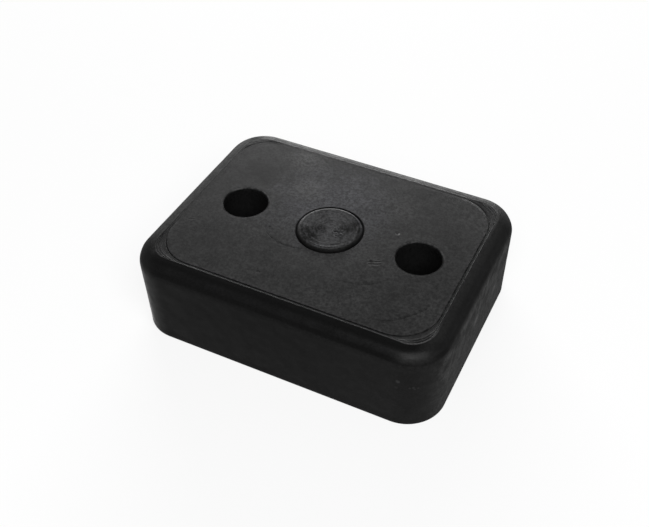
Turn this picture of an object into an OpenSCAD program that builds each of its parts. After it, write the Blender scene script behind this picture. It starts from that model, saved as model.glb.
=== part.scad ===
// Rubber buffer block: one solid moulding that bolts down on its flat base and takes
// knocks on its top face. Its upper edge is rolled all the way round, and a fine crest
// and a fine groove border the top face. Two bolt holes are recessed deeply enough to
// keep the bolt heads below the top face, and a low round pad stands between them.
// Millimetres, +Z up. The origin is the centre of the base, and the length lies along X.

/* [Block] */
// Length of the block
block_length = 85; // [76:1:140]
// Width of the block
block_width = 64.5; // [44:0.5:100]
// Height of the top face above the base
block_height = 25; // [18:0.5:50]
// Radius of the four upright corners
corner_radius = 10.5; // [8:0.5:14]
// Radius of the rolled upper edge
edge_radius = 4.5; // [3:0.1:7]
// Radius that takes the sharpness off the bottom edge
base_edge_radius = 0.4; // [0.2:0.1:1.5]

/* [Crest where the mould halves met] */
// Width of the crest at its foot
crest_width = 0.4; // [0.3:0.05:0.6]
// Height of the crest above the top face
crest_height = 0.15; // [0.05:0.05:0.3]

/* [Groove that borders the top face] */
// Distance from the crest to the groove, centre to centre
groove_gap = 0.75; // [0.5:0.05:3]
// Radius of the groove's centre line at the corners
groove_corner_radius = 10.6; // [8:0.1:16]
// Width of the groove at the top face
groove_width = 0.45; // [0.2:0.05:0.6]
// Depth of the groove
groove_depth = 0.35; // [0.1:0.05:1]

/* [Bolt holes] */
// Distance between the two bolt holes
hole_spacing = 50; // [34:1:58]
// Diameter of the recess that takes a bolt's head and washer
recess_diameter = 12; // [9:0.5:16]
// Depth of the recess below the top face
recess_depth = 14; // [8:0.5:20]
// Diameter of the hole that the bolt's shank passes through
bolt_hole_diameter = 6.6; // [4.5:0.1:8.5]
// Radius that takes the sharpness off the recess's rim
rim_radius = 0.25; // [0.1:0.05:0.8]

/* [Centre pad] */
// Diameter of the pad
pad_diameter = 17.2; // [10:0.1:30]
// Height of the pad above the top face
pad_height = 0.4; // [0.3:0.05:2]
// Radius of the pad's upper edge
pad_edge_radius = 0.85; // [0.2:0.05:1.2]
// Width of the ring groove round the pad, at the top face
pad_groove_width = 0.45; // [0.2:0.05:1]
// Depth of the ring groove below the top face
pad_groove_depth = 0.5; // [0.1:0.05:1]

/* [Hidden] */

$fn = 96;

// How far a cut runs past the surface that it opens through
overcut = 1;
// How far the core reaches past the axes of the upright corners, into the swept wall
core_lap = 1;

// The crest stands where the rolled edge meets the top face, and its section is an arc
crest_inset = edge_radius;
crest_radius = (crest_height ^ 2 + (crest_width / 2) ^ 2) / (2 * crest_height);

groove_inset = crest_inset + groove_gap;

wall_depth = corner_radius - core_lap;
pad_radius = pad_diameter / 2;
// The pad's solid starts below its groove, so that pad and block are one solid
pad_root = pad_groove_depth + pad_edge_radius;

// What a rounded edge loses, drawn for material below and to the left of the origin
module edge_waste(radius) {
    difference() {
        translate([-radius, -radius]) square(radius + overcut);
        translate([-radius, -radius]) circle(r = radius);
    }
}

// Carries a profile once round a rounded rectangle of this length, width and corner
// radius. The profile's x points outward from the rectangle and its y points up.
module swept_round(length, width, radius) {
    for (quarter = [0 : 3]) {
        along_x = quarter % 2 == 1;
        reach = (along_x ? width : length) / 2;
        run = (along_x ? length : width) - 2 * radius;
        rotate(90 * quarter) {
            translate([reach, run / 2, 0])
                rotate([90, 0, 0])
                    linear_extrude(run) children();
            translate([reach - radius, run / 2, 0])
                rotate_extrude(angle = 90)
                    translate([radius, 0]) children();
        }
    }
}

// Section through the block's wall, from inside the core out to the side face, which is
// at x = 0
module wall_profile() {
    difference() {
        translate([-wall_depth, 0]) square([wall_depth, block_height]);
        translate([0, block_height]) edge_waste(edge_radius);
        mirror([0, 1]) edge_waste(base_edge_radius);
    }
    translate([-crest_inset, block_height + crest_height - crest_radius])
        circle(r = crest_radius);
}

// Section of the groove, a V with its mouth's centre at the origin
module groove_profile() {
    polygon([
        [0, -groove_depth],
        [groove_width / 2, 0],
        [groove_width / 2, overcut],
        [-groove_width / 2, overcut],
        [-groove_width / 2, 0]
    ]);
}

// Half section of the pad, from its axis outward, with the top face at y = 0
module pad_profile() {
    difference() {
        translate([0, -pad_root]) square([pad_radius, pad_root + pad_height]);
        translate([pad_radius, pad_height]) edge_waste(pad_edge_radius);
    }
}

// Half section of the well that the pad stands in. What the pad leaves open of it is the
// ring groove, whose outer side slopes down to the foot of the pad's wall.
module pad_well_profile() {
    polygon([
        [0, -pad_groove_depth],
        [pad_radius, -pad_groove_depth],
        [pad_radius + pad_groove_width, 0],
        [pad_radius + pad_groove_width, overcut],
        [0, overcut]
    ]);
}

module solid_body() {
    swept_round(block_length, block_width, corner_radius) wall_profile();
    translate([wall_depth - block_length / 2, wall_depth - block_width / 2, 0])
        cube([block_length - 2 * wall_depth, block_width - 2 * wall_depth, block_height]);
}

module border_groove() {
    translate([0, 0, block_height])
        swept_round(
            block_length - 2 * groove_inset,
            block_width - 2 * groove_inset,
            groove_corner_radius
        ) groove_profile();
}

// The recess for a bolt's head, with its rim eased, and the hole for the shank below it
module bolt_cut() {
    translate([0, 0, -overcut]) cylinder(d = bolt_hole_diameter, h = block_height + overcut);
    translate([0, 0, block_height - recess_depth])
        cylinder(d = recess_diameter, h = recess_depth + overcut);
    translate([0, 0, block_height])
        rotate_extrude()
            translate([recess_diameter / 2, 0]) mirror([1, 0]) edge_waste(rim_radius);
}

module centre_pad() {
    translate([0, 0, block_height]) rotate_extrude() pad_profile();
}

module pad_well() {
    translate([0, 0, block_height]) rotate_extrude() pad_well_profile();
}

module block() {
    color([0.11, 0.11, 0.12]) {
        difference() {
            solid_body();
            border_groove();
            pad_well();
            for (side = [-1, 1])
                translate([side * hole_spacing / 2, 0, 0]) bolt_cut();
        }
        centre_pad();
    }
}

block();
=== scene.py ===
import math
from typing import NamedTuple

import bpy
import numpy as np
from mathutils import Matrix, Vector, noise
from mathutils.geometry import delaunay_2d_cdt


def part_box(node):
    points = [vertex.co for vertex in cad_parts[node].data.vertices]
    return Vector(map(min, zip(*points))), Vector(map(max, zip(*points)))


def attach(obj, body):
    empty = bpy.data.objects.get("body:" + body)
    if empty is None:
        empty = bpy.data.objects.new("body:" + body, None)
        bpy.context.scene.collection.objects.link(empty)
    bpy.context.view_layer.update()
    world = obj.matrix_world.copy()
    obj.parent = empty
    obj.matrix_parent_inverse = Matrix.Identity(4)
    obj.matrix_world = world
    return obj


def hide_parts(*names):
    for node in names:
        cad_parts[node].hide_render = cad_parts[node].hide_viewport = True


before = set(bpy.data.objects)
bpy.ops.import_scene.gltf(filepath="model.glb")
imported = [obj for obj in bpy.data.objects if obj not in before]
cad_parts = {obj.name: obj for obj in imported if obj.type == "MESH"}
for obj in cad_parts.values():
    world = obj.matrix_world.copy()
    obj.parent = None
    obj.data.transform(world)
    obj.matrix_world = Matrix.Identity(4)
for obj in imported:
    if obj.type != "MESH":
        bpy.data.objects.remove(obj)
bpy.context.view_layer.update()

# The block's skin is worked out in millimetres and turned into metres at the end.
MM = 0.001
LOW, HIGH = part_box("block")

# Sizes of the block, as its solid has them
LENGTH = (HIGH.x - LOW.x) / MM
WIDTH = (HIGH.y - LOW.y) / MM
PAD_TOP = HIGH.z / MM
PAD_HEIGHT = 0.4
TOP = PAD_TOP - PAD_HEIGHT
CORNER_RADIUS = 10.5
EDGE_RADIUS = 4.5
BASE_EDGE_RADIUS = 0.4
CREST_WIDTH = 0.4
CREST_HEIGHT = 0.15
GROOVE_GAP = 0.75
GROOVE_CORNER_RADIUS = 10.6
GROOVE_WIDTH = 0.45
GROOVE_DEPTH = 0.35
HOLE_X = 25.0
RECESS_RADIUS = 6.0
RECESS_DEPTH = 14.0
BOLT_HOLE_RADIUS = 3.3
RIM_RADIUS = 0.25
PAD_RADIUS = 8.6
PAD_EDGE_RADIUS = 0.85
PAD_GROOVE_WIDTH = 0.45
PAD_GROOVE_DEPTH = 0.5

# Slack for comparing places
TOLERANCE = 0.01

# How finely the skin is divided
CORNER_STEPS = 36
LONG_STEPS = 120
SHORT_STEPS = 84
WALL_STEPS = 30
ROLL_STEPS = 16
RIM_STEPS = 4
PAD_EDGE_STEPS = 8
HOLE_COLUMNS = 96
PAD_COLUMNS = 176
TOP_SPACING = 0.62
BASE_SPACING = 2.4
BEAD_STEPS = 6
RECESS_STEPS = 13
LEDGE_RADII = (5.0, 4.1, BOLT_HOLE_RADIUS)
BOLT_HOLE_STEPS = 6
MARK_SPACING = 0.35
PATH_STEPS = 24
SHARP_ANGLE = math.radians(38)

# How far a face's inner points keep from its outline, its holes and its other lines, as shares
# of the spacing
OUTLINE_CLEARANCE = 0.5
HOLE_CLEARANCE = 0.4
LINE_CLEARANCE = 7 / 12

# Fine ridges that follow the crest round the corners: how far across the land from the crest
# to the groove, as a share, and the height there
LAND_SECTION = [
    (0.0, 0.0),
    (0.1, 0.0),
    (0.17, 0.05),
    (0.24, 0.0),
    (0.36, 0.0),
    (0.43, 0.05),
    (0.5, 0.0),
    (0.75, 0.0),
    (1.0, 0.0),
]

# The groove's section: how far inward from its centre line, as a share of its half width, and
# how deep there, as a share of its depth
GROOVE_SECTION = [
    (-0.5, 0.5),
    (0.0, 1.0),
    (0.5, 0.5),
    (1.0, 0.0),
]

# How much the groove opens up per millimetre to the right, and per millimetre to the back: it
# is crisp at the front right and nearly closed at the back left
GROOVE_OPENS = (0.009, -0.0167)

# The least that is left of the crest and of the groove, as shares of their height and depth
CREST_LEAST = 0.25
GROOVE_LEAST = 0.06

# How much the crest loses along the back and the left, and the groove along the back
CREST_LOSS = 0.85
GROOVE_LOSS = 0.7

# Turned rings on the pad: their pitch, depth and the plain spot at the middle
RING_PITCH = 0.45
RING_DEPTH = 0.045
RING_ROWS = 5
PAD_SPOT_RADIUS = 0.5

# The shallowest and the deepest that wear lets the rings be, as shares of their depth
RING_WEAR = (0.1, 1.2)

# How far the moulded skin sinks below its true form, at most
WALL_SINK = 0.12
TOP_SINK = 0.05

# The top face also draws in a little under and round the pad, where the rubber is thickest
DISH_DEPTH = 0.2
DISH_FLAT_RADIUS = 6.0
DISH_RADIUS = 18.0

# Marks in the top face: points in millimetres, the mark's width and depth, and how far its
# bottom lies to the left of its middle line, as a share of the width
FLOW_MARKS = [
    ([(-16.3, -5.6), (-14.4, -7.8), (-12.0, -9.3), (-8.0, -10.3), (-3.0, -9.9)], 0.34, 0.050, -0.40),
    ([(10.6, -15.9), (14.2, -15.2), (17.5, -13.9), (21.3, -10.5)], 0.34, 0.045, -0.40),
    ([(23.9, -24.0), (26.8, -22.8), (29.4, -20.7), (32.7, -16.5), (34.0, -13.3)], 0.34, 0.050, -0.40),
    ([(-15.0, -5.7), (-14.5, -5.9), (-14.0, -5.7)], 0.60, 0.110, -0.30),
]
SCRATCHES = [
    ([(15.5, -5.4), (16.0, -5.2), (16.6, -4.8)], 0.40, 0.030, 0.46),
    ([(13.8, -7.0), (15.6, -6.2), (17.3, -5.3)], 0.22, 0.036, 0.20),
    ([(14.2, -7.7), (15.9, -7.0), (17.4, -6.2)], 0.22, 0.036, 0.20),
    ([(-36.6, -12.4), (-34.5, -12.2), (-31.8, -11.4)], 0.50, 0.030, 0.46),
    ([(-9.5, -22.0), (-8.9, -21.8), (-8.3, -21.9)], 0.60, 0.070, 0.30),
    ([(15.9, 5.8), (16.8, 6.0), (17.3, 6.2)], 0.20, 0.080, 0.35),
]

# How fast a mark fades toward its ends, and its least width there as a share of its width
MARK_FADE = 0.6
MARK_LEAST_WIDTH = 0.15

# Nicks in the pad: points, how far the nick reaches from them, and how deep it is
PAD_NICKS = [
    ([(1.6, -0.5), (2.2, -0.2), (2.6, -0.4), (3.4, 0.1)], 0.22, 0.28),
    ([(2.5, -1.7), (3.2, -1.8), (3.7, -1.1)], 0.18, 0.24),
    ([(6.9, -4.0), (7.5, -4.9)], 0.14, 0.12),
]

# The lip that is pushed up beside a nick, as a share of the nick's depth
NICK_LIP = 0.15

# Painted reflection: dark (above 0) and pale (below 0) spots that paint the sheen of the pad's
# turned face: x, y, reach, and how strongly they show
PAD_SHEEN_SPOTS = [
    (4.6, 2.2, 3.4, 0.8),
    (5.8, 5.0, 2.2, 0.5),
    (2.4, 0.6, 1.6, 0.4),
    (-2.4, -0.8, 2.6, 0.7),
    (-4.4, -2.4, 2.6, 0.4),
    (-3.4, -4.8, 3.2, 0.8),
    (-6.2, -3.0, 2.2, 0.5),
    (0.3, 1.2, 1.4, -0.8),
    (0.4, -0.8, 1.4, -0.8),
    (1.6, -3.4, 3.0, -0.7),
    (4.8, -2.2, 2.6, 0.25),
    (-4.5, 4.5, 3.0, 0.2),
]

# Pale specks stuck in the skin: x, y, z, reach, and their grey
PALE_SPECKS = [
    (16.9, 6.2, 25.0, 0.32, 0.1600),
    (16.1, 5.9, 25.0, 0.20, 0.1000),
    (33.4, -32.1, 16.3, 0.70, 0.0240),
    (33.1, -32.1, 14.0, 0.60, 0.0100),
    (36.2, -31.3, 14.4, 0.40, 0.0140),
    (37.0, -31.0, 14.6, 0.45, 0.0180),
    (37.3, -30.8, 14.0, 0.40, 0.0150),
    (38.0, -30.4, 14.3, 0.35, 0.0150),
]

# The rubber: how strongly it mirrors, how dull it is and how far that wanders, and how high and
# how strong its fine grain is
SPECULAR_LEVEL = 0.05
ROUGHNESS = (0.25, 0.33)
ROUGHNESS_WANDER = 0.03
GRAIN_HEIGHT = 0.03
GRAIN_STRENGTH = 0.8

# How far the grain and the blotches darken and brighten the colour, how much of that is left
# under the bloom, and how much of it the sides lack
GRAIN_TONES = (0.4, 1.6)
BLOTCH_TONES = (0.8, 1.2)
BLOOM_GRAIN = 0.6
SIDE_CALM = 0.6

# Greys of the rubber, some with painted light and shade in them, as marked. Of two, the skin
# wanders or fades from the first to the second.
# Painted shade: the roll and the front are painted far darker than the top
ROLL_GREYS = (0.0030, 0.0046)
# Painted shade darkens the top of the roll, except toward the right end
ROLL_TOP_SHADE_GREYS = (0.0018, 0.0080)
CORNER_GLINT_GREY = 0.0125
ROLL_SHADE_GREY = 0.0022
FRONT_GREYS = (0.0008, 0.0040)
SHOULDER_GREY = 0.0034
# Painted light: the ends are painted far paler than the front, with dust and scuffs on them
END_GREYS_AT_TOP = (0.0080, 0.0380)
END_GREYS_LOW = (0.0205, 0.0280)
# Painted sheen: the left roll is painted paler than the rest of the roll
LEFT_ROLL_SHEEN_GREYS = (0.0075, 0.0165)
TOP_GREYS = (0.0102, 0.0140)
# Painted shade darkens the top toward the left end
TOP_LEFT_SHADE_GREY = 0.0030
# Painted shade on the land between the crest and the groove
LAND_SHADE_GREY = 0.0030
# Painted shade in the border groove, paler toward the right end
GROOVE_SHADE_GREYS = (0.0040, 0.0180)
CREST_GREY = 0.0100
# Painted highlight: the crest is painted pale along the back and toward the front right corner
CREST_BACK_HIGHLIGHT_GREYS = (0.0550, 0.0180)
CREST_CORNER_HIGHLIGHT_GREY = 0.0220
HOLE_GREY = 0.0060
# Painted shade on the holes' near rims, and a painted highlight on their far rims
NEAR_RIM_SHADE_GREY = 0.0050
FAR_RIM_HIGHLIGHT_GREY = 0.0500
# The pad's face, pale to dark with its stains, its painted sheen and its painted shade
PAD_GREYS = (0.0220, 0.0012)
# Painted shade on the near side of the pad's edge
PAD_EDGE_SHADE_GREYS = (0.0120, 0.0015)
# Painted highlight on the pad's edge at the back left
PAD_FAR_HIGHLIGHT_GREY = 0.0350
# Painted shade in the pad's ring groove
RING_GROOVE_SHADE_GREY = 0.0025

# Touches of blue, as blue over red
ROLL_BLUE = 1.03
PAD_BLUE = 1.05
BLOOM_BLUE = 1.08

# How strongly the land's painted shade and the far rims' painted highlight show, and how much of
# the pad's darkening the stained turned streaks and the dull edge's painted shade make
LAND_SHADE_SHARE = 0.6
FAR_RIM_HIGHLIGHT_SHARE = 0.5
STREAK_STAIN = 0.5
EDGE_SHADE = 0.4

# The bloom, a pale haze that comes out of black rubber: its grey, where on the top it is
# thickest, how far it reaches, and how ragged its limit is
BLOOM_GREY = 0.0320
BLOOM_CENTRE = (-4.0, 9.0)
BLOOM_THICK_RADIUS = 12.0
BLOOM_RADIUS = 30.0
BLOOM_RAGGED = 16.0

# Clouds in the bloom: x, y, reach, how strongly they show, and their grey
CLOUDS = [
    (-19.0, 25.0, 9.0, 0.5, 0.0500),
    (-12.0, 12.0, 7.0, 0.5, 0.0520),
    (14.0, 15.0, 8.0, 0.4, 0.0300),
    (34.0, 20.0, 8.0, 0.4, 0.0260),
    (-28.0, 13.0, 8.0, 0.9, 0.0040),
    (-8.0, 19.0, 7.0, 0.3, 0.0060),
    (19.0, 26.0, 9.0, 0.6, 0.0040),
    (-26.0, -14.0, 8.0, 0.3, 0.0040),
    (27.0, -22.0, 9.0, 0.4, 0.0060),
]

# How much further the left end's pale colour, painted light with scuffs, reaches round its corners
# than the right end's, and how far outward the crest's painted highlight lies along the right end
LEFT_END_LEAD = 2.6
CREST_SHIFT = 0.2

# How ragged the clouds and the scuffs are: how far their limits wander
CLOUD_RAGGED = 7.0
SCUFF_RAGGED = 5.0

# Scuffs on the right end: y, z, reach, how strongly they show, and their grey
END_SCUFFS = [
    (12.4, 10.7, 2.6, 0.8, 0.0600),
    (13.9, 18.5, 2.4, 0.5, 0.0480),
    (-2.2, 12.6, 2.6, 0.9, 0.0700),
    (-0.5, 15.5, 1.8, 0.6, 0.0550),
    (4.7, 14.1, 3.4, 0.6, 0.0060),
    (-8.3, 16.2, 2.6, 0.6, 0.0060),
    (-4.0, 17.4, 2.2, 0.6, 0.0060),
    (-13.1, 14.1, 3.0, 0.5, 0.0360),
    (-27.0, 20.5, 2.6, 0.5, 0.0100),
]

# The camera, fitted to the photograph's outline of the block, with its angles in degrees
AIM = Vector((13.64, -12.68, 12.5)) * MM
CAMERA_DISTANCE = 219.35 * MM
CAMERA_AZIMUTH = 24.36
CAMERA_ELEVATION = 46.80
CAMERA_ROLL = 1.03
CAMERA_LENS = 47.51
CAMERA_SHIFT = (-0.0485, 0.0732)

# The studio: the floor's half width in metres, its paint, the share of it that shows as pure
# white, and the strength of the even light all round
FLOOR_HALF = 3.0
FLOOR_PAINT = (0.82, 0.82, 0.82, 1)
FLOOR_WHITE_SHARE = 0.75
SOFT_LIGHT = 0.16
WHITE = (1, 1, 1, 1)

# Lamps: name, azimuth and elevation in degrees, distance, width and height in metres, and watts
LAMPS = [
    ("front_window", 36, 50, 0.9, 0.85, 0.55, 9.8),
    ("back_window", -154, 12, 0.8, 0.7, 0.26, 8.4),
]


def clamp(value, low, high):
    return min(high, max(low, value))


def smoothstep(low, high, value):
    """Rises smoothly from 0 to 1 as the value goes from low to high. High may lie below low."""
    share = np.clip((value - low) / (high - low), 0.0, 1.0)
    return share * share * (3 - 2 * share)


def wander(x, y, fineness, layer):
    """Smooth noise about 0 over the block's plan. Each layer is a noise of its own."""
    return noise.noise(Vector((x * fineness, y * fineness, layer)))


def rounded_ring(inset, radius):
    """Points of a rounded rectangle this far inside the block's outline, anticlockwise."""
    half_x = LENGTH / 2 - inset
    half_y = WIDTH / 2 - inset
    points = []
    for quarter in range(4):
        along_x = quarter % 2 == 1
        reach = half_y if along_x else half_x
        run = (half_x if along_x else half_y) - radius
        steps = LONG_STEPS if along_x else SHORT_STEPS
        local = [(reach, run * (2 * k / steps - 1)) for k in range(steps)]
        for k in range(CORNER_STEPS):
            angle = math.pi / 2 * k / CORNER_STEPS
            local.append((reach - radius + radius * math.cos(angle), run + radius * math.sin(angle)))
        turn = quarter * math.pi / 2
        cos, sin = round(math.cos(turn)), round(math.sin(turn))
        points += [(x * cos - y * sin, x * sin + y * cos) for x, y in local]
    return points


def circle(radius, columns, centre=(0.0, 0.0)):
    """Points of a circle, anticlockwise."""
    angles = [2 * math.pi * k / columns for k in range(columns)]
    return [(centre[0] + radius * math.cos(a), centre[1] + radius * math.sin(a)) for a in angles]


class Hole(NamedTuple):
    """An opening in a flat face: its row of points, its centre on the X axis and its radius."""

    row: list
    x: float
    radius: float


class Skin:
    """Gathers the points and faces of the block's closed surface."""

    def __init__(self):
        self.points = []
        self.faces = []

    def row(self, outline, height):
        """Adds a closed row of points at one height, or at a height for each point."""
        first = len(self.points)
        heights = height if isinstance(height, list) else [height] * len(outline)
        self.points += [(x, y, z) for (x, y), z in zip(outline, heights)]
        return list(range(first, len(self.points)))

    def band(self, first, second):
        """Joins two closed rows. It faces outward when the first row lies below or outside."""
        count = len(first)
        for k in range(count):
            after = (k + 1) % count
            self.faces.append((first[k], first[after], second[after], second[k]))

    def bands(self, rows):
        """Joins each closed row to the next."""
        for first, second in zip(rows, rows[1:]):
            self.band(first, second)

    def cap(self, row, centre):
        """Closes a row on a point at its middle."""
        self.points.append(centre)
        middle = len(self.points) - 1
        for k in range(len(row)):
            self.faces.append((row[k], row[(k + 1) % len(row)], middle))


def crest_share(x, y):
    """How much of its height the crest keeps at a place: it is torn and pressed flat in parts."""
    kept = 0.8 + 0.55 * wander(x, y, 0.16, 3.0) + 0.35 * wander(x, y, 0.9, 7.0)
    at_back = smoothstep(8.0, 24.0, y)
    on_left = smoothstep(14.0, 36.0, -x)
    return clamp(kept, CREST_LEAST, 1.0) * (1 - CREST_LOSS * float(max(at_back, on_left)))


def groove_share(x, y):
    """How open the border groove is at a place: crisp at the front and closed at the back left."""
    open_x, open_y = GROOVE_OPENS
    share = 0.5 + open_y * y + open_x * x + 0.3 * wander(x, y, 0.12, 19.0)
    on_left = float(smoothstep(28.0, 36.0, -x) * smoothstep(-24.0, -10.0, y))
    at_back = float(smoothstep(18.0, 26.0, y) * smoothstep(34.0, 26.0, x))
    return clamp(share, GROOVE_LEAST, 1.0) * (1 - on_left) * (1 - GROOVE_LOSS * at_back)


def corner_share(x, y):
    """0 along the straight sides and 1 round the corners, where crest and groove part."""
    past_x = abs(x) - (LENGTH / 2 - EDGE_RADIUS - GROOVE_CORNER_RADIUS)
    past_y = abs(y) - (WIDTH / 2 - EDGE_RADIUS - GROOVE_CORNER_RADIUS)
    return float(smoothstep(1.0, 5.0, min(past_x, past_y)))


def ring_share(x, y, radius):
    """How deep a turned ring is at a place: the tool bit unevenly, and wear has closed some."""
    bite = noise.noise(Vector((radius / RING_PITCH, x * 0.12, y * 0.12)))
    wear = 0.35 + 0.9 * wander(x, y, 0.3, 11.0) - 0.09 * y
    return clamp(0.5 + bite, 0.0, 1.0) * clamp(wear, *RING_WEAR)


def add_wall(skin):
    """Sides, rolled edge, crest and groove. Returns the lowest and the innermost row."""
    rows = []
    for k in range(RIM_STEPS + 1):
        angle = math.pi / 2 * k / RIM_STEPS
        inset = BASE_EDGE_RADIUS * (1 - math.sin(angle))
        height = BASE_EDGE_RADIUS * (1 - math.cos(angle))
        rows.append(skin.row(rounded_ring(inset, CORNER_RADIUS - inset), height))
    straight = TOP - EDGE_RADIUS - BASE_EDGE_RADIUS
    for k in range(1, WALL_STEPS + 1):
        height = BASE_EDGE_RADIUS + straight * k / WALL_STEPS
        rows.append(skin.row(rounded_ring(0, CORNER_RADIUS), height))

    roll_end = math.acos(CREST_WIDTH / 2 / EDGE_RADIUS)
    for k in range(1, ROLL_STEPS + 1):
        angle = roll_end * k / ROLL_STEPS
        inset = EDGE_RADIUS * (1 - math.cos(angle))
        height = TOP - EDGE_RADIUS * (1 - math.sin(angle))
        rows.append(skin.row(rounded_ring(inset, CORNER_RADIUS - inset), height))

    bead_radius = (CREST_HEIGHT ** 2 + (CREST_WIDTH / 2) ** 2) / (2 * CREST_HEIGHT)
    bead_end = math.asin(CREST_WIDTH / 2 / bead_radius)
    for angle in np.linspace(-bead_end, bead_end, BEAD_STEPS + 1)[1:-1]:
        inset = EDGE_RADIUS + bead_radius * math.sin(angle)
        outline = rounded_ring(inset, CORNER_RADIUS - inset)
        rise = bead_radius * (math.cos(angle) - 1) + CREST_HEIGHT
        rows.append(skin.row(outline, [TOP + rise * crest_share(x, y) for x, y in outline]))

    crest_foot = EDGE_RADIUS + CREST_WIDTH / 2
    groove_centre = EDGE_RADIUS + GROOVE_GAP
    groove_lip = groove_centre - GROOVE_WIDTH / 2
    foot_radius = CORNER_RADIUS - crest_foot
    lip_radius = GROOVE_CORNER_RADIUS + GROOVE_WIDTH / 2
    for share, rise in LAND_SECTION:
        inset = crest_foot + (groove_lip - crest_foot) * share
        outline = rounded_ring(inset, foot_radius + (lip_radius - foot_radius) * share)
        rows.append(skin.row(outline, [TOP + rise * corner_share(x, y) for x, y in outline]))
    for offset, share in GROOVE_SECTION:
        inset = groove_centre + offset * GROOVE_WIDTH / 2
        outline = rounded_ring(inset, GROOVE_CORNER_RADIUS - offset * GROOVE_WIDTH / 2)
        depth = GROOVE_DEPTH * share
        rows.append(skin.row(outline, [TOP - depth * groove_share(x, y) for x, y in outline]))
    skin.bands(rows)
    return rows[0], rows[-1]


def add_hole(skin, x):
    """One bolt hole with its recess. Returns its row in the top face and its lowest row."""
    columns, centre = HOLE_COLUMNS, (x, 0.0)
    rows = []
    for k in range(RIM_STEPS + 1):
        angle = math.pi / 2 * k / RIM_STEPS
        radius = RECESS_RADIUS + RIM_RADIUS * (1 - math.sin(angle))
        height = TOP - RIM_RADIUS * (1 - math.cos(angle))
        rows.append(skin.row(circle(radius, columns, centre), height))
    for depth in np.linspace(RIM_RADIUS, RECESS_DEPTH, RECESS_STEPS + 1)[1:]:
        rows.append(skin.row(circle(RECESS_RADIUS, columns, centre), TOP - depth))
    for radius in LEDGE_RADII:
        rows.append(skin.row(circle(radius, columns, centre), TOP - RECESS_DEPTH))
    for height in np.linspace(TOP - RECESS_DEPTH, 0.0, BOLT_HOLE_STEPS + 1)[1:]:
        rows.append(skin.row(circle(BOLT_HOLE_RADIUS, columns, centre), height))
    skin.bands(rows)
    return rows[0], rows[-1]


def add_pad(skin):
    """The round pad, its ring groove and its turned face. Returns the groove's outer row."""
    columns = PAD_COLUMNS
    rows = [
        skin.row(circle(PAD_RADIUS + PAD_GROOVE_WIDTH, columns), TOP),
        skin.row(circle(PAD_RADIUS + PAD_GROOVE_WIDTH / 2, columns), TOP - PAD_GROOVE_DEPTH / 2),
    ]
    shoulder = PAD_TOP - PAD_EDGE_RADIUS
    for height in (TOP - PAD_GROOVE_DEPTH, shoulder):
        rows.append(skin.row(circle(PAD_RADIUS, columns), height))
    for k in range(1, PAD_EDGE_STEPS + 1):
        angle = math.pi / 2 * k / PAD_EDGE_STEPS
        radius = PAD_RADIUS - PAD_EDGE_RADIUS * (1 - math.cos(angle))
        height = shoulder + PAD_EDGE_RADIUS * math.sin(angle)
        rows.append(skin.row(circle(radius, columns), height))
    turned = PAD_RADIUS - PAD_EDGE_RADIUS - PAD_SPOT_RADIUS
    count = round(turned / RING_PITCH) * RING_ROWS
    for k in range(1, count + 1):
        radius = PAD_RADIUS - PAD_EDGE_RADIUS - turned * k / count
        outline = circle(radius, columns)
        heights = [PAD_TOP - RING_DEPTH * ring_share(x, y, radius) for x, y in outline]
        rows.append(skin.row(outline, heights))
    skin.bands(rows)
    skin.cap(rows[-1], (0.0, 0.0, PAD_TOP))
    return rows[0]


def smooth_path(points, spacing):
    """A smooth path through a few points, as evenly spaced points."""
    points = np.array(points)
    ends = np.vstack([2 * points[0] - points[1], points, 2 * points[-1] - points[-2]])
    fine = []
    for k in range(len(points) - 1):
        a, b, c, d = ends[k : k + 4]
        for t in np.linspace(0, 1, PATH_STEPS, endpoint=False):
            square = (2 * a - 5 * b + 4 * c - d) * t ** 2
            cube = (3 * b - a - 3 * c + d) * t ** 3
            fine.append(0.5 * (2 * b + (c - a) * t + square + cube))
    fine = np.array(fine + [points[-1]])
    along = np.concatenate([[0], np.cumsum(np.linalg.norm(np.diff(fine, axis=0), axis=1))])
    wanted = np.linspace(0, along[-1], max(3, round(along[-1] / spacing) + 1))
    return np.stack([np.interp(wanted, along, fine[:, axis]) for axis in (0, 1)], axis=1)


def mark_lines(points, width, depth, lean):
    """A V mark that fades out at both ends, as lines of (x, y, drop): a lip, its bottom, a lip."""
    path = smooth_path(points, MARK_SPACING)
    tangent = np.gradient(path, axis=0)
    tangent /= np.linalg.norm(tangent, axis=1)[:, None]
    side = np.stack([-tangent[:, 1], tangent[:, 0]], axis=1)
    strength = np.sin(np.linspace(0, math.pi, len(path))) ** MARK_FADE
    lines = []
    for offset, share in ((-0.5, 0.0), (lean, 1.0), (0.5, 0.0)):
        shifts = offset * width * np.maximum(strength, MARK_LEAST_WIDTH)
        shifted = path + side * shifts[:, None]
        lines.append([(x, y, depth * share * s) for (x, y), s in zip(shifted, strength)])
    return lines


def in_hole(x, y, holes, margin=0.0):
    return any(math.hypot(x - hole.x, y) < hole.radius + margin for hole in holes)


def grid_points(lines, corner_radius, holes, spacing):
    """A staggered grid of points inside the outermost line, clear of every line and hole."""
    taken = np.array([point[:2] for line in lines for point in line])
    reach_x, reach_y = np.abs(taken).max(axis=0)
    columns = np.arange(-reach_x + spacing, reach_x, spacing)
    rows = np.arange(-reach_y + spacing, reach_y, spacing)
    points = []
    for row_number, y in enumerate(rows):
        past_y = max(0.0, abs(y) - (reach_y - corner_radius))
        for x in columns + (row_number % 2) * spacing / 2:
            past_x = max(0.0, abs(x) - (reach_x - corner_radius))
            if math.hypot(past_x, past_y) >= corner_radius - OUTLINE_CLEARANCE * spacing:
                continue
            if in_hole(x, y, holes, HOLE_CLEARANCE * spacing):
                continue
            from_lines = np.abs(taken[:, 0] - x) + np.abs(taken[:, 1] - y)
            if np.min(from_lines) >= LINE_CLEARANCE * spacing:
                points.append((x, y))
    return points


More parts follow.
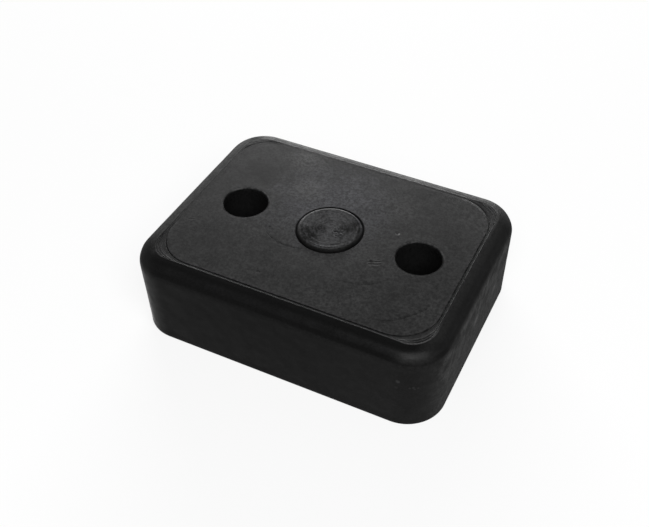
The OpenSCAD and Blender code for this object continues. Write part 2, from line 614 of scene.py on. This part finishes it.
def fill_flat(skin, outer, corner_radius, holes, spacing, facing_up, marks=()):
    """Fills a flat face between an outer row and the rows of its holes, and cuts its marks."""
    height = skin.points[outer[0]][2]
    owners, drops, edges, lines = [], [], [], []
    for loop in [outer] + [hole.row for hole in holes]:
        first = len(owners)
        owners += loop
        drops += [0.0] * len(loop)
        edges += [(first + k, first + (k + 1) % len(loop)) for k in range(len(loop))]
        lines.append([skin.points[k][:2] for k in loop])
    for mark in marks:
        first = len(owners)
        owners += [None] * len(mark)
        drops += [drop for _, _, drop in mark]
        edges += [(first + k, first + k + 1) for k in range(len(mark) - 1)]
        lines.append([(x, y) for x, y, _ in mark])
    inner = grid_points(lines, corner_radius, holes, spacing)
    owners += [None] * len(inner)
    drops += [0.0] * len(inner)
    flat = [Vector(point) for line in lines + [inner] for point in line]

    keep_all, merge_distance, list_sources = 0, 1e-5, True
    found = delaunay_2d_cdt(flat, edges, [], keep_all, merge_distance, list_sources)
    places, _, triangles, sources = found[:4]
    index = []
    for place, source in zip(places, sources):
        owner = owners[source[0]] if source else None
        if owner is None:
            drop = drops[source[0]] if source else 0.0
            skin.points.append((place.x, place.y, height - drop))
            owner = len(skin.points) - 1
        index.append(owner)
    for triangle in triangles:
        middle = sum((places[k] for k in triangle), Vector((0, 0))) / 3
        if in_hole(middle.x, middle.y, holes):
            continue
        a, b, c = (places[k] for k in triangle)
        up = (b - a).cross(c - a) > 0
        face = tuple(index[k] for k in triangle)
        skin.faces.append(face if up == facing_up else face[::-1])


def distance_to_path(x, y, path):
    """Distance from a point to a path of points."""
    nearest = float("inf")
    for (ax, ay), (bx, by) in zip(path, path[1:]):
        run_x, run_y = bx - ax, by - ay
        share = ((x - ax) * run_x + (y - ay) * run_y) / (run_x ** 2 + run_y ** 2)
        share = clamp(share, 0.0, 1.0)
        nearest = min(nearest, math.hypot(x - ax - share * run_x, y - ay - share * run_y))
    return nearest


def sink_share(x, y, z):
    """How far the skin has sunk at a place, as a share of the most that it sinks."""
    wide = noise.fractal(Vector((x, y, z)) * 0.07, 1.0, 2.0, 2)
    middle = noise.fractal(Vector((x + 40, y, z)) * 0.33, 0.9, 2.0, 3)
    return clamp(0.5 + 0.45 * wide + 0.35 * middle, 0.0, 1.0)


def outward(x, y, z):
    """Unit vector out of the wall, or out of the rolled edge above it."""
    half = np.array([LENGTH / 2, WIDTH / 2])
    past = np.maximum(np.abs([x, y]) - (half - CORNER_RADIUS), 0.0)
    out = np.array([*past, 0.0]) * [math.copysign(1, x), math.copysign(1, y), 0]
    up_roll = max(0.0, (z - (TOP - EDGE_RADIUS)) / EDGE_RADIUS)
    out[2] = up_roll ** 2 * np.linalg.norm(out)
    return out / np.linalg.norm(out)


def nick_depth(x, y):
    """How deep the nicks cut at a place on the pad. Below 0 it is their lips, pushed up."""
    total = 0.0
    for path, width, cut in PAD_NICKS:
        off = distance_to_path(x, y, path) / width
        total += cut * (math.exp(-(off ** 2)) - NICK_LIP * math.exp(-((off - 2.0) ** 2)))
    return total


def weather(points):
    """Sinks the skin unevenly, as a moulded surface is, and cuts the dish and the nicks."""
    moved = points.copy()
    for k, (x, y, z) in enumerate(points):
        from_hole = min(math.hypot(x - HOLE_X, y), math.hypot(x + HOLE_X, y))
        if from_hole < RECESS_RADIUS + RIM_RADIUS + TOLERANCE or z < BASE_EDGE_RADIUS:
            continue
        depth = sink_share(x, y, z)
        inset = min(LENGTH / 2 - abs(x), WIDTH / 2 - abs(y))
        if inset < EDGE_RADIUS and z < TOP - 2 * TOLERANCE:
            fade = smoothstep(0.0, 2.0, z - BASE_EDGE_RADIUS) * smoothstep(0.0, 3.0, TOP - z)
            moved[k] -= outward(x, y, z) * depth * WALL_SINK * fade
        elif inset > EDGE_RADIUS:
            from_centre = math.hypot(x, y)
            fade = smoothstep(0.2, 2.5, from_hole - RECESS_RADIUS)
            fade *= smoothstep(0.2, 2.0, inset - EDGE_RADIUS)
            fade *= smoothstep(PAD_RADIUS, PAD_RADIUS + 3, from_centre)
            dish = DISH_DEPTH * (1 - smoothstep(DISH_FLAT_RADIUS, DISH_RADIUS, from_centre))
            moved[k, 2] -= depth * TOP_SINK * fade + dish
            if from_centre < PAD_RADIUS:
                moved[k, 2] -= nick_depth(x, y)
    return moved


def build_block():
    """The whole block as one closed mesh, in the CAD block's place."""
    skin = Skin()
    base_row, top_row = add_wall(skin)
    left_rim, left_foot = add_hole(skin, -HOLE_X)
    right_rim, right_foot = add_hole(skin, HOLE_X)
    pad_row = add_pad(skin)
    marks = [line for mark in FLOW_MARKS + SCRATCHES for line in mark_lines(*mark)]
    top_holes = [
        Hole(left_rim, -HOLE_X, RECESS_RADIUS + RIM_RADIUS),
        Hole(right_rim, HOLE_X, RECESS_RADIUS + RIM_RADIUS),
        Hole(pad_row, 0.0, PAD_RADIUS + PAD_GROOVE_WIDTH),
    ]
    base_holes = [
        Hole(left_foot, -HOLE_X, BOLT_HOLE_RADIUS),
        Hole(right_foot, HOLE_X, BOLT_HOLE_RADIUS),
    ]
    fill_flat(skin, top_row, GROOVE_CORNER_RADIUS, top_holes, TOP_SPACING, True, marks)
    fill_flat(skin, base_row, CORNER_RADIUS, base_holes, BASE_SPACING, False)

    points = weather(np.array(skin.points)) * MM
    mesh = bpy.data.meshes.new("moulded_block")
    mesh.from_pydata(points.tolist(), [], skin.faces)
    mesh.validate()
    mesh.shade_smooth()
    mesh.set_sharp_from_angle(angle=SHARP_ANGLE)
    block = bpy.data.objects.new("moulded_block", mesh)
    bpy.context.scene.collection.objects.link(block)
    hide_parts("block")
    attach(block, "root")
    return block


class Nodes:
    """Short ways to lay out a node tree."""

    def __init__(self, tree):
        self.tree = tree
        tree.nodes.clear()

    def add(self, kind, inputs=(), **settings):
        """Adds a node. Each input is either a socket to link or a value to set."""
        node = self.tree.nodes.new(kind)
        for name, value in settings.items():
            setattr(node, name, value)
        for name, value in dict(inputs).items():
            if isinstance(value, bpy.types.NodeSocket):
                self.tree.links.new(value, node.inputs[name])
            else:
                node.inputs[name].default_value = value
        return node

    def math(self, operation, *values):
        node = self.add("ShaderNodeMath", dict(enumerate(values)), operation=operation)
        return node.outputs[0]

    def product(self, first, *others):
        for other in others:
            first = self.math("MULTIPLY", first, other)
        return first

    def total(self, first, *others):
        for other in others:
            first = self.math("ADD", first, other)
        return first

    def less(self, first, second):
        return self.math("SUBTRACT", first, second)

    def apart(self, first, second):
        """How far apart two values are."""
        return self.math("ABSOLUTE", self.less(first, second))

    def along(self, x, y, slope):
        """How far a place lies along a direction of the plan."""
        return self.total(self.product(x, slope[0]), self.product(y, slope[1]))

    def distance(self, x, y, centre_x, centre_y):
        across = self.math("POWER", self.less(x, centre_x), 2.0)
        up = self.math("POWER", self.less(y, centre_y), 2.0)
        return self.math("SQRT", self.total(across, up))

    def scaled(self, vector, factor):
        inputs = {0: vector, "Scale": factor}
        return self.add("ShaderNodeVectorMath", inputs, operation="SCALE").outputs[0]

    def noise(self, place, scale, detail=3.0, rough=0.5):
        inputs = {"Vector": place, "Scale": scale, "Detail": detail, "Roughness": rough}
        return self.add("ShaderNodeTexNoise", inputs).outputs["Fac"]

    def ramp(self, value, low, high, bottom=0.0, top=1.0):
        """A smooth step from bottom to top as the value goes from low to high."""
        inputs = {"Value": value, "From Min": low, "From Max": high}
        inputs |= {"To Min": bottom, "To Max": top}
        node = self.add("ShaderNodeMapRange", inputs, interpolation_type="SMOOTHSTEP")
        return node.outputs["Result"]

    def mix(self, share, first, second):
        node = self.add("ShaderNodeMix", {0: share, 6: first, 7: second}, data_type="RGBA")
        return node.outputs[2]


def grey(value, blue=1.0):
    return (value, value, value * blue, 1)


def rounded_depth(n, x, y, inset, radius):
    """How deep a place lies in the rounded rectangle at this inset. x and y are off the centre."""
    past_x = n.less(x, LENGTH / 2 - inset - radius)
    past_y = n.less(y, WIDTH / 2 - inset - radius)
    corner = n.math("POWER", n.math("MAXIMUM", past_x, 0.0), 2.0)
    corner = n.total(corner, n.math("POWER", n.math("MAXIMUM", past_y, 0.0), 2.0))
    straight = n.math("MINIMUM", n.math("MAXIMUM", past_x, past_y), 0.0)
    return n.less(radius, n.total(n.math("SQRT", corner), straight))


class Regions:
    """Where a point of the skin lies, in millimetres, and which of the block's regions it is in.

    A region is 1 inside and 0 outside. Each ramp fades it in between the two places it names.
    """

    def __init__(self, n):
        coordinates = n.add("ShaderNodeTexCoord").outputs["Object"]
        self.place = n.scaled(coordinates, 1 / MM)
        self.x, self.y, self.z = n.add("ShaderNodeSeparateXYZ", {0: self.place}).outputs
        off_x = n.math("ABSOLUTE", self.x)
        off_y = n.math("ABSOLUTE", self.y)
        self.from_centre = n.distance(self.x, self.y, 0.0, 0.0)
        self.from_hole = n.distance(off_x, self.y, HOLE_X, 0.0)
        crest_radius = CORNER_RADIUS - EDGE_RADIUS
        groove_inset = EDGE_RADIUS + GROOVE_GAP
        self.past_crest = rounded_depth(n, off_x, off_y, EDGE_RADIUS, crest_radius)
        self.past_groove = rounded_depth(n, off_x, off_y, groove_inset, GROOVE_CORNER_RADIUS)
        # At the height of the top face, and not on the walls or down the holes
        self.high = n.ramp(self.z, TOP - 1.3, TOP - 0.9)

        self.fine = n.noise(self.place, 1.5, 4.0, 0.65)
        self.blotches = n.noise(self.place, 0.5, 4.0, 0.6)
        self.patches = n.noise(self.place, 0.16, 3.0, 0.55)
        self.broad = n.noise(self.place, 0.045, 2.0, 0.5)

        self.find_top(n)
        self.find_pad(n)
        self.find_holes(n)
        self.find_sides(n)

    def find_top(self, n):
        """The flat top, its bloom, the crest, the groove and the land between those two."""
        self.top = n.product(n.ramp(self.past_crest, -0.02, 0.08), self.high)

        from_bloom = n.distance(self.x, self.y, *BLOOM_CENTRE)
        from_bloom = n.total(from_bloom, n.product(self.patches, BLOOM_RAGGED))
        self.bloom = n.ramp(from_bloom, BLOOM_RADIUS, BLOOM_THICK_RADIUS)

        # Along the right end the crest's painted highlight is wider, and lies a little further out
        along_right = n.product(n.ramp(self.x, 34.0, 38.0), n.ramp(self.y, -26.0, -20.0))
        off_crest = n.total(self.past_crest, n.product(along_right, CREST_SHIFT))
        half_width = n.ramp(along_right, 0.0, 1.0, 0.22, 0.4)
        crest = n.ramp(n.math("ABSOLUTE", off_crest), half_width, 0.08)
        self.crest = n.product(crest, self.high)

        # Painted shade darkens the groove where it lies open
        groove = n.ramp(n.math("ABSOLUTE", self.past_groove), 0.27, 0.12)
        opening = n.along(self.x, self.y, GROOVE_OPENS)
        self.groove = n.product(groove, self.high, n.ramp(opening, -0.3, 0.5))

        # Painted shade darkens the land outside the groove along the front and the right end
        in_front = n.ramp(self.y, 10.0, -10.0)
        front_or_right = n.math("MAXIMUM", in_front, n.ramp(self.x, 30.0, 36.0))
        self.land = n.product(n.ramp(self.past_groove, 0.0, -0.3), front_or_right)

    def find_pad(self, n):
        """The pad's face, its rounded edge and its ring groove."""
        x, y, from_centre = self.x, self.y, self.from_centre
        face = n.ramp(from_centre, PAD_RADIUS - 0.5, PAD_RADIUS - 0.9)
        self.pad = n.product(face, self.high)
        within_rim = n.product(n.ramp(from_centre, PAD_RADIUS + 0.5, PAD_RADIUS), self.high)

        # Painted shade darkens the edge on its near side. The edge is dull on its near right half,
        # where painted shade darkens it too
        near = n.ramp(n.along(x, y, (0.2, -1.0)), -2.0, 3.0)
        self.pad_edge_shade = n.product(n.ramp(from_centre, 7.3, 7.9), near, within_rim)
        near_right = n.ramp(n.along(x, y, (0.77, -0.64)), -4.5, 0.5)
        self.pad_dull_and_shaded = n.product(n.ramp(from_centre, 7.0, 8.2), near_right, within_rim)

        # A painted highlight makes a thin stretch of the edge pale at the back left
        back_left = n.ramp(n.along(x, y, (-0.7, 0.7)), 3.0, 6.5)
        rim_highlight = n.ramp(n.apart(from_centre, 7.95), 0.45, 0.2)
        self.pad_far_highlight = n.product(back_left, self.high, rim_highlight)

        # Painted shade: the ring groove's dark line runs a little outside the pad's edge, near and
        # far
        ring_near = n.ramp(y, -4.0, -8.0, PAD_RADIUS + 0.05, PAD_RADIUS + 0.2)
        ring_radius = n.total(ring_near, n.ramp(y, 1.0, 6.0, 0.0, 0.25))
        line = n.ramp(n.apart(from_centre, ring_radius), 0.40, 0.16)
        self.ring_groove_shade = n.product(line, self.high, n.ramp(x, -9.2, -7.2, 0.7, 1.0))

    def find_holes(self, n):
        """The holes' walls, painted shade on the near side of their rims, and a painted highlight on
        the far side.
        """
        self.in_hole = n.product(
            n.ramp(self.from_hole, RECESS_RADIUS + 0.2, RECESS_RADIUS + 0.1),
            n.ramp(self.z, TOP - 0.1, TOP - 0.5),
        )
        from_axis = n.less(self.x, n.product(n.math("SIGN", self.x), HOLE_X))
        near_right = n.ramp(n.along(from_axis, self.y, (0.6, -0.8)), -2.0, 2.0)
        # Painted shade darkens the near side of the rim
        near_rim_shade = n.ramp(self.from_hole, RECESS_RADIUS + 0.6, RECESS_RADIUS + 0.2)
        self.near_rim_shade = n.product(near_rim_shade, near_right, self.high)
        # A painted highlight makes the far side of the rim pale
        far_rim_highlight = n.ramp(self.from_hole, RECESS_RADIUS + 0.6, RECESS_RADIUS + 0.3)
        self.far_rim_highlight = n.product(far_rim_highlight, n.ramp(self.y, 1.0, 4.0), self.high)

    def find_sides(self, n):
        """The ends, and the parts of the roll and of the walls that are duller or more worn."""
        x, y, z = self.x, self.y, self.z
        toward_end = n.math("MAXIMUM", x, n.less(LEFT_END_LEAD, x))
        self.end = n.product(n.ramp(toward_end, 39.2, 42.7), n.ramp(z, TOP - 2.4, TOP - 4.6))
        self.right_roll = n.product(n.ramp(x, 38.6, 42.3), n.ramp(self.past_crest, 0.0, -0.6))
        self.left_worn = n.product(n.ramp(x, -36.0, -39.0), n.ramp(z, TOP - 4.0, 6.0))
        self.walls = n.ramp(z, TOP - 2.6, TOP - 4.4)

        beyond_crest = n.ramp(self.past_crest, 0.1, -0.3)
        on_roll = n.ramp(z, TOP - 4.4, TOP - 2.0)
        self.left_roll = n.product(n.ramp(x, -34.0, -38.0), beyond_crest, on_roll)
        # Painted sheen: the left roll is painted paler, away from the front corner
        self.left_roll_sheen = n.product(self.left_roll, n.ramp(y, -26.0, -14.0))
        self.back_side = n.product(n.ramp(y, 23.0, 28.0), beyond_crest)


def ragged_spot(n, distance, blotches, reach, share, ragged):
    """A spot with a wandering limit, as a share that falls to 0 beyond its reach."""
    distance = n.total(distance, n.product(blotches, ragged))
    return n.ramp(distance, reach + ragged / 2, ragged / 2, 0.0, share)


def side_colour(n, r):
    """The rolled edge and the front below it, in painted shade; the front is paler under the roll and
    to the right.
    """
    # Painted shade: the roll is painted far darker than the top
    dark, pale = ROLL_GREYS
    roll = n.mix(n.ramp(r.patches, 0.35, 0.7), grey(dark), grey(pale, ROLL_BLUE))
    # Painted shade darkens the top of the roll, except toward the right end
    roll_top = n.ramp(r.x, 35.0, 38.0, *ROLL_TOP_SHADE_GREYS)
    roll = n.mix(n.ramp(r.z, TOP - 0.8, TOP - 0.2), roll, roll_top)

    # The front right corner catches the light halfway up the roll, where the rest is darkest
    at_corner = n.product(n.ramp(r.x, 29.0, 35.0), n.ramp(r.y, -23.5, -30.5))
    glint = n.product(at_corner, n.ramp(n.apart(r.z, TOP - 1.6), 1.5, 0.1))
    roll = n.mix(glint, roll, grey(CORNER_GLINT_GREY))
    off_corner = n.ramp(at_corner, 0.0, 1.0, 1.0, 0.0)
    shade = n.product(n.ramp(n.apart(r.z, TOP - 2.3), 0.8, 0.3), off_corner)
    roll = n.mix(shade, roll, grey(ROLL_SHADE_GREY))

    # Painted shade: the front is painted far darker than the top
    shoulder = n.ramp(r.z, TOP - 5.5, TOP - 3.4, 0.0, SHOULDER_GREY)
    front = n.total(shoulder, n.ramp(r.x, -5.0, 36.0, *FRONT_GREYS))
    return n.mix(n.ramp(r.z, TOP - 2.6, TOP - 3.3), roll, front)


def end_colour(n, r):
    """The end walls, paler than the front as painted light, scuffed pale in patches, with larger
    scuffs on the right one.
    """
    plain_at_top, scuffed_at_top = END_GREYS_AT_TOP
    plain_low, scuffed_low = END_GREYS_LOW
    below_roll, low = TOP - 4.0, 9.0
    # Painted light: the ends are painted far paler than the front, darker toward the top
    plain = n.ramp(r.z, below_roll, low, plain_at_top, plain_low)
    scuffed = n.ramp(r.z, below_roll, low, scuffed_at_top, scuffed_low)
    smears = n.noise(r.place, 0.28, 3.0, 0.6)
    scuffs = n.total(n.product(r.patches, 0.5), n.product(smears, 0.5))
    colour = n.mix(n.ramp(scuffs, 0.42, 0.60), plain, scuffed)
    on_right = n.ramp(r.x, 38.0, 41.0)
    for y, z, reach, share, tone in END_SCUFFS:
        distance = n.distance(r.y, r.z, y, z)
        spot = ragged_spot(n, distance, r.blotches, reach, share, SCUFF_RAGGED)
        colour = n.mix(n.product(spot, on_right), colour, grey(tone))
    return colour


def top_colour(n, r):
    """The flat top: plain rubber, the cloudy bloom over it, and the darker land at its border."""
    dark, pale = TOP_GREYS
    colour = n.mix(n.ramp(r.broad, 0.35, 0.65), grey(dark), grey(pale))
    # Painted shade: the top is darkened toward the left end
    colour = n.mix(n.ramp(r.x, -14.0, -38.0, 0.0, 0.35), colour, grey(TOP_LEFT_SHADE_GREY))
    colour = n.mix(r.bloom, colour, grey(BLOOM_GREY, BLOOM_BLUE))
    for x, y, reach, share, tone in CLOUDS:
        distance = n.distance(r.x, r.y, x, y)
        spot = ragged_spot(n, distance, r.blotches, reach, share, CLOUD_RAGGED)
        colour = n.mix(spot, colour, grey(tone))
    # Painted shade darkens the land at the border
    return n.mix(n.product(r.land, LAND_SHADE_SHARE), colour, grey(LAND_SHADE_GREY))


def pad_stain_and_sheen(n, r):
    """How dark the pad's face is: stained streaks along the turned rings, painted sheen spots,
    painted shade.
    """
    inputs = {0: n.product(r.from_centre, 5.0), 1: r.x, 2: r.y}
    turned = n.add("ShaderNodeCombineXYZ", inputs).outputs[0]
    streaks = n.total(n.product(n.noise(turned, 0.32, 3.0, 0.6), 0.6), n.product(r.fine, 0.4))
    stain_and_sheen = n.product(n.ramp(streaks, 0.60, 0.40), STREAK_STAIN)
    # Painted reflection: spots that paint the turned face's sheen
    for x, y, reach, strength in PAD_SHEEN_SPOTS:
        stain_and_sheen = n.total(stain_and_sheen, n.ramp(n.distance(r.x, r.y, x, y), reach, 0.0, 0.0, strength))
    # Painted shade darkens the pad's near right edge
    stain_and_sheen = n.total(stain_and_sheen, n.product(r.pad_dull_and_shaded, EDGE_SHADE))
    return n.math("MINIMUM", n.math("MAXIMUM", stain_and_sheen, 0.0), 1.0)


def crest_highlight_colour(n, r):
    """A painted highlight makes the crest pale along the back and toward the front right corner; it
    is dark on the left.
    """
    at_back = n.ramp(r.y, 10.0, 26.0, 0.0, n.ramp(r.x, 24.0, 36.0, *CREST_BACK_HIGHLIGHT_GREYS))
    toward_corner = n.ramp(r.y, -16.0, -23.0, 0.0, CREST_CORNER_HIGHLIGHT_GREY)
    near_corner = n.product(n.ramp(r.x, 29.0, 34.0), toward_corner)
    tone = n.total(at_back, CREST_GREY, near_corner)
    return n.product(tone, n.ramp(r.x, -34.0, -37.0, 1.0, 0.3))


def speckled(n, r, colour):
    """The colour with the pale specks in it."""
    for x, y, z, reach, tone in PALE_SPECKS:
        inputs = {0: r.place, 1: (x, y, z)}
        off = n.add("ShaderNodeVectorMath", inputs, operation="DISTANCE").outputs["Value"]
        colour = n.mix(n.ramp(off, reach, 0.3 * reach), colour, grey(tone))
    return colour


def rubber_colour(n, r, stain_and_sheen):
    """Every region's colour, each laid over the ones before it."""
    # Painted sheen makes the left roll paler
    dark, pale = LEFT_ROLL_SHEEN_GREYS
    left_roll = n.mix(n.ramp(r.fine, 0.35, 0.65), grey(dark), grey(pale))
    # The pad's face, pale to dark with its stains, its painted sheen and its painted shade
    pale_pad, dark_pad = PAD_GREYS
    pad = n.mix(stain_and_sheen, grey(pale_pad, PAD_BLUE), grey(dark_pad))
    colour = side_colour(n, r)
    for share, layer in (
        (r.end, end_colour(n, r)),
        (r.left_roll_sheen, left_roll),
        (r.top, top_colour(n, r)),
        (r.pad, pad),
        (r.groove, n.ramp(r.x, 30.0, 37.0, *GROOVE_SHADE_GREYS)),
        (r.pad_edge_shade, n.ramp(r.from_centre, 7.5, 8.6, *PAD_EDGE_SHADE_GREYS)),
        (r.ring_groove_shade, grey(RING_GROOVE_SHADE_GREY)),
        (r.crest, crest_highlight_colour(n, r)),
        (r.near_rim_shade, grey(NEAR_RIM_SHADE_GREY)),
        (n.product(r.far_rim_highlight, FAR_RIM_HIGHLIGHT_SHARE), grey(FAR_RIM_HIGHLIGHT_GREY)),
        (r.in_hole, grey(HOLE_GREY)),
    ):
        colour = n.mix(share, colour, layer)
    colour = speckled(n, r, colour)
    # A painted highlight on the pad's edge at the back left
    return n.mix(r.pad_far_highlight, colour, grey(PAD_FAR_HIGHLIGHT_GREY))


def grained(n, r, colour):
    """The colour made uneven by grain: in full on the bare top, and least on the sides."""
    speckle = n.ramp(r.fine, 0.34, 0.66, *GRAIN_TONES)
    uneven = n.product(speckle, n.ramp(r.blotches, 0.35, 0.65, *BLOTCH_TONES))
    grainy = n.product(r.top, n.ramp(r.bloom, 0.0, 1.0, 1.0, BLOOM_GRAIN))
    calm = n.product(n.less(1.0, grainy), SIDE_CALM)
    uneven = n.total(n.product(uneven, n.less(1.0, calm)), calm)
    return n.scaled(colour, uneven)


def rubber_roughness(n, r, stain_and_sheen):
    """How dull the skin is: its own wandering dullness, and more or less of it in each region."""
    worn = n.total(r.patches, n.product(r.fine, 0.3))
    wandering = n.ramp(r.blotches, 0.35, 0.65, ROUGHNESS_WANDER, -ROUGHNESS_WANDER)
    roughness = n.total(n.ramp(worn, 0.4, 0.9, *ROUGHNESS), wandering)
    for region, more in (
        (r.top, 0.15),
        (r.right_roll, 0.4),
        (r.left_worn, -0.12),
        (r.left_roll, 0.34),
        (r.back_side, 0.2),
        (r.walls, 0.15),
        (r.pad_dull_and_shaded, 0.3),
        (r.ring_groove_shade, 0.3),
        (r.near_rim_shade, 0.4),
        (n.product(stain_and_sheen, r.pad), 0.35),
    ):
        roughness = n.total(roughness, n.product(region, more))
    return roughness


def rubber_material():
    """Black moulded rubber: a dull grey bloom on top, rolled edges in painted shade, scuffed ends in
    painted light.
    """
    material = bpy.data.materials.new("black_rubber")
    material.use_nodes = True
    n = Nodes(material.node_tree)
    r = Regions(n)
    stain_and_sheen = pad_stain_and_sheen(n, r)
    grain = n.product(n.noise(r.place, 2.6, 4.0, 0.65), GRAIN_HEIGHT)
    bump = n.add("ShaderNodeBump", {"Height": grain, "Distance": MM, "Strength": GRAIN_STRENGTH})
    inputs = {
        "Base Color": grained(n, r, rubber_colour(n, r, stain_and_sheen)),
        "Roughness": rubber_roughness(n, r, stain_and_sheen),
        "Normal": bump.outputs[0],
    }
    shader = n.add("ShaderNodeBsdfPrincipled", inputs)
    shader.inputs["Specular IOR Level"].default_value = SPECULAR_LEVEL
    n.add("ShaderNodeOutputMaterial", {"Surface": shader.outputs[0]})
    return material


def seen_directly(n):
    """1 where a ray comes from the camera, or from a glossy or clear surface, and otherwise 0."""
    path = n.add("ShaderNodeLightPath").outputs
    glossy = n.math("MAXIMUM", path["Is Camera Ray"], path["Is Glossy Ray"])
    return n.math("MAXIMUM", glossy, path["Is Transmission Ray"])


def make_floor():
    """A plain pale floor, which looks white and keeps the block's soft shadow."""
    half = FLOOR_HALF
    corners = [(-half, -half, 0), (half, -half, 0), (half, half, 0), (-half, half, 0)]
    mesh = bpy.data.meshes.new("floor")
    mesh.from_pydata(corners, [], [(0, 1, 2, 3)])
    floor = bpy.data.objects.new("floor", mesh)
    bpy.context.scene.collection.objects.link(floor)
    material = bpy.data.materials.new("pale_floor")
    material.use_nodes = True
    n = Nodes(material.node_tree)
    paint = n.add("ShaderNodeBsdfDiffuse", {"Color": FLOOR_PAINT}).outputs[0]
    white = n.add("ShaderNodeEmission", {"Color": WHITE, "Strength": 1.0}).outputs[0]
    share = n.product(seen_directly(n), FLOOR_WHITE_SHARE)
    mixed = n.add("ShaderNodeMixShader", {0: share, 1: paint, 2: white}).outputs[0]
    n.add("ShaderNodeOutputMaterial", {"Surface": mixed})
    mesh.materials.append(material)


def make_world():
    """White to the eye and in reflections, and a soft even light on the block."""
    world = bpy.data.worlds.new("studio")
    bpy.context.scene.world = world
    world.use_nodes = True
    n = Nodes(world.node_tree)
    soft = n.add("ShaderNodeBackground", {"Color": WHITE, "Strength": SOFT_LIGHT}).outputs[0]
    white = n.add("ShaderNodeBackground", {"Color": WHITE, "Strength": 1.0}).outputs[0]
    mixed = n.add("ShaderNodeMixShader", {0: seen_directly(n), 1: soft, 2: white}).outputs[0]
    n.add("ShaderNodeOutputWorld", {"Surface": mixed})


def direction(azimuth, elevation):
    """Unit vector toward an azimuth, counted from the front to the right, and an elevation."""
    azimuth, elevation = math.radians(azimuth), math.radians(elevation)
    flat = math.cos(elevation)
    return Vector((math.sin(azimuth) * flat, -math.cos(azimuth) * flat, math.sin(elevation)))


def add_lamp(name, azimuth, elevation, distance, width, height, power):
    """A rectangular lamp that faces the middle of the block's top."""
    light = bpy.data.lights.new(name, "AREA")
    light.shape = "RECTANGLE"
    light.size = width
    light.size_y = height
    light.energy = power
    lamp = bpy.data.objects.new(name, light)
    bpy.context.scene.collection.objects.link(lamp)
    toward = direction(azimuth, elevation)
    lamp.location = Vector((0, 0, TOP * MM)) + toward * distance
    lamp.rotation_euler = toward.to_track_quat("Z", "Y").to_euler()


def make_camera():
    data = bpy.data.cameras.new("camera")
    data.sensor_width = 36
    data.lens = CAMERA_LENS
    data.shift_x, data.shift_y = CAMERA_SHIFT
    data.clip_start = 0.01
    camera = bpy.data.objects.new("camera", data)
    bpy.context.scene.collection.objects.link(camera)
    toward = direction(CAMERA_AZIMUTH, CAMERA_ELEVATION)
    roll = Matrix.Rotation(math.radians(CAMERA_ROLL), 3, "Z")
    turn = toward.to_track_quat("Z", "Y").to_matrix() @ roll
    camera.matrix_world = Matrix.Translation(AIM + toward * CAMERA_DISTANCE) @ turn.to_4x4()
    bpy.context.scene.camera = camera


make_camera()
block = build_block()
block.data.materials.append(rubber_material())
make_floor()
make_world()
for lamp in LAMPS:
    add_lamp(*lamp)

bpy.context.scene.view_settings.view_transform = "Standard"
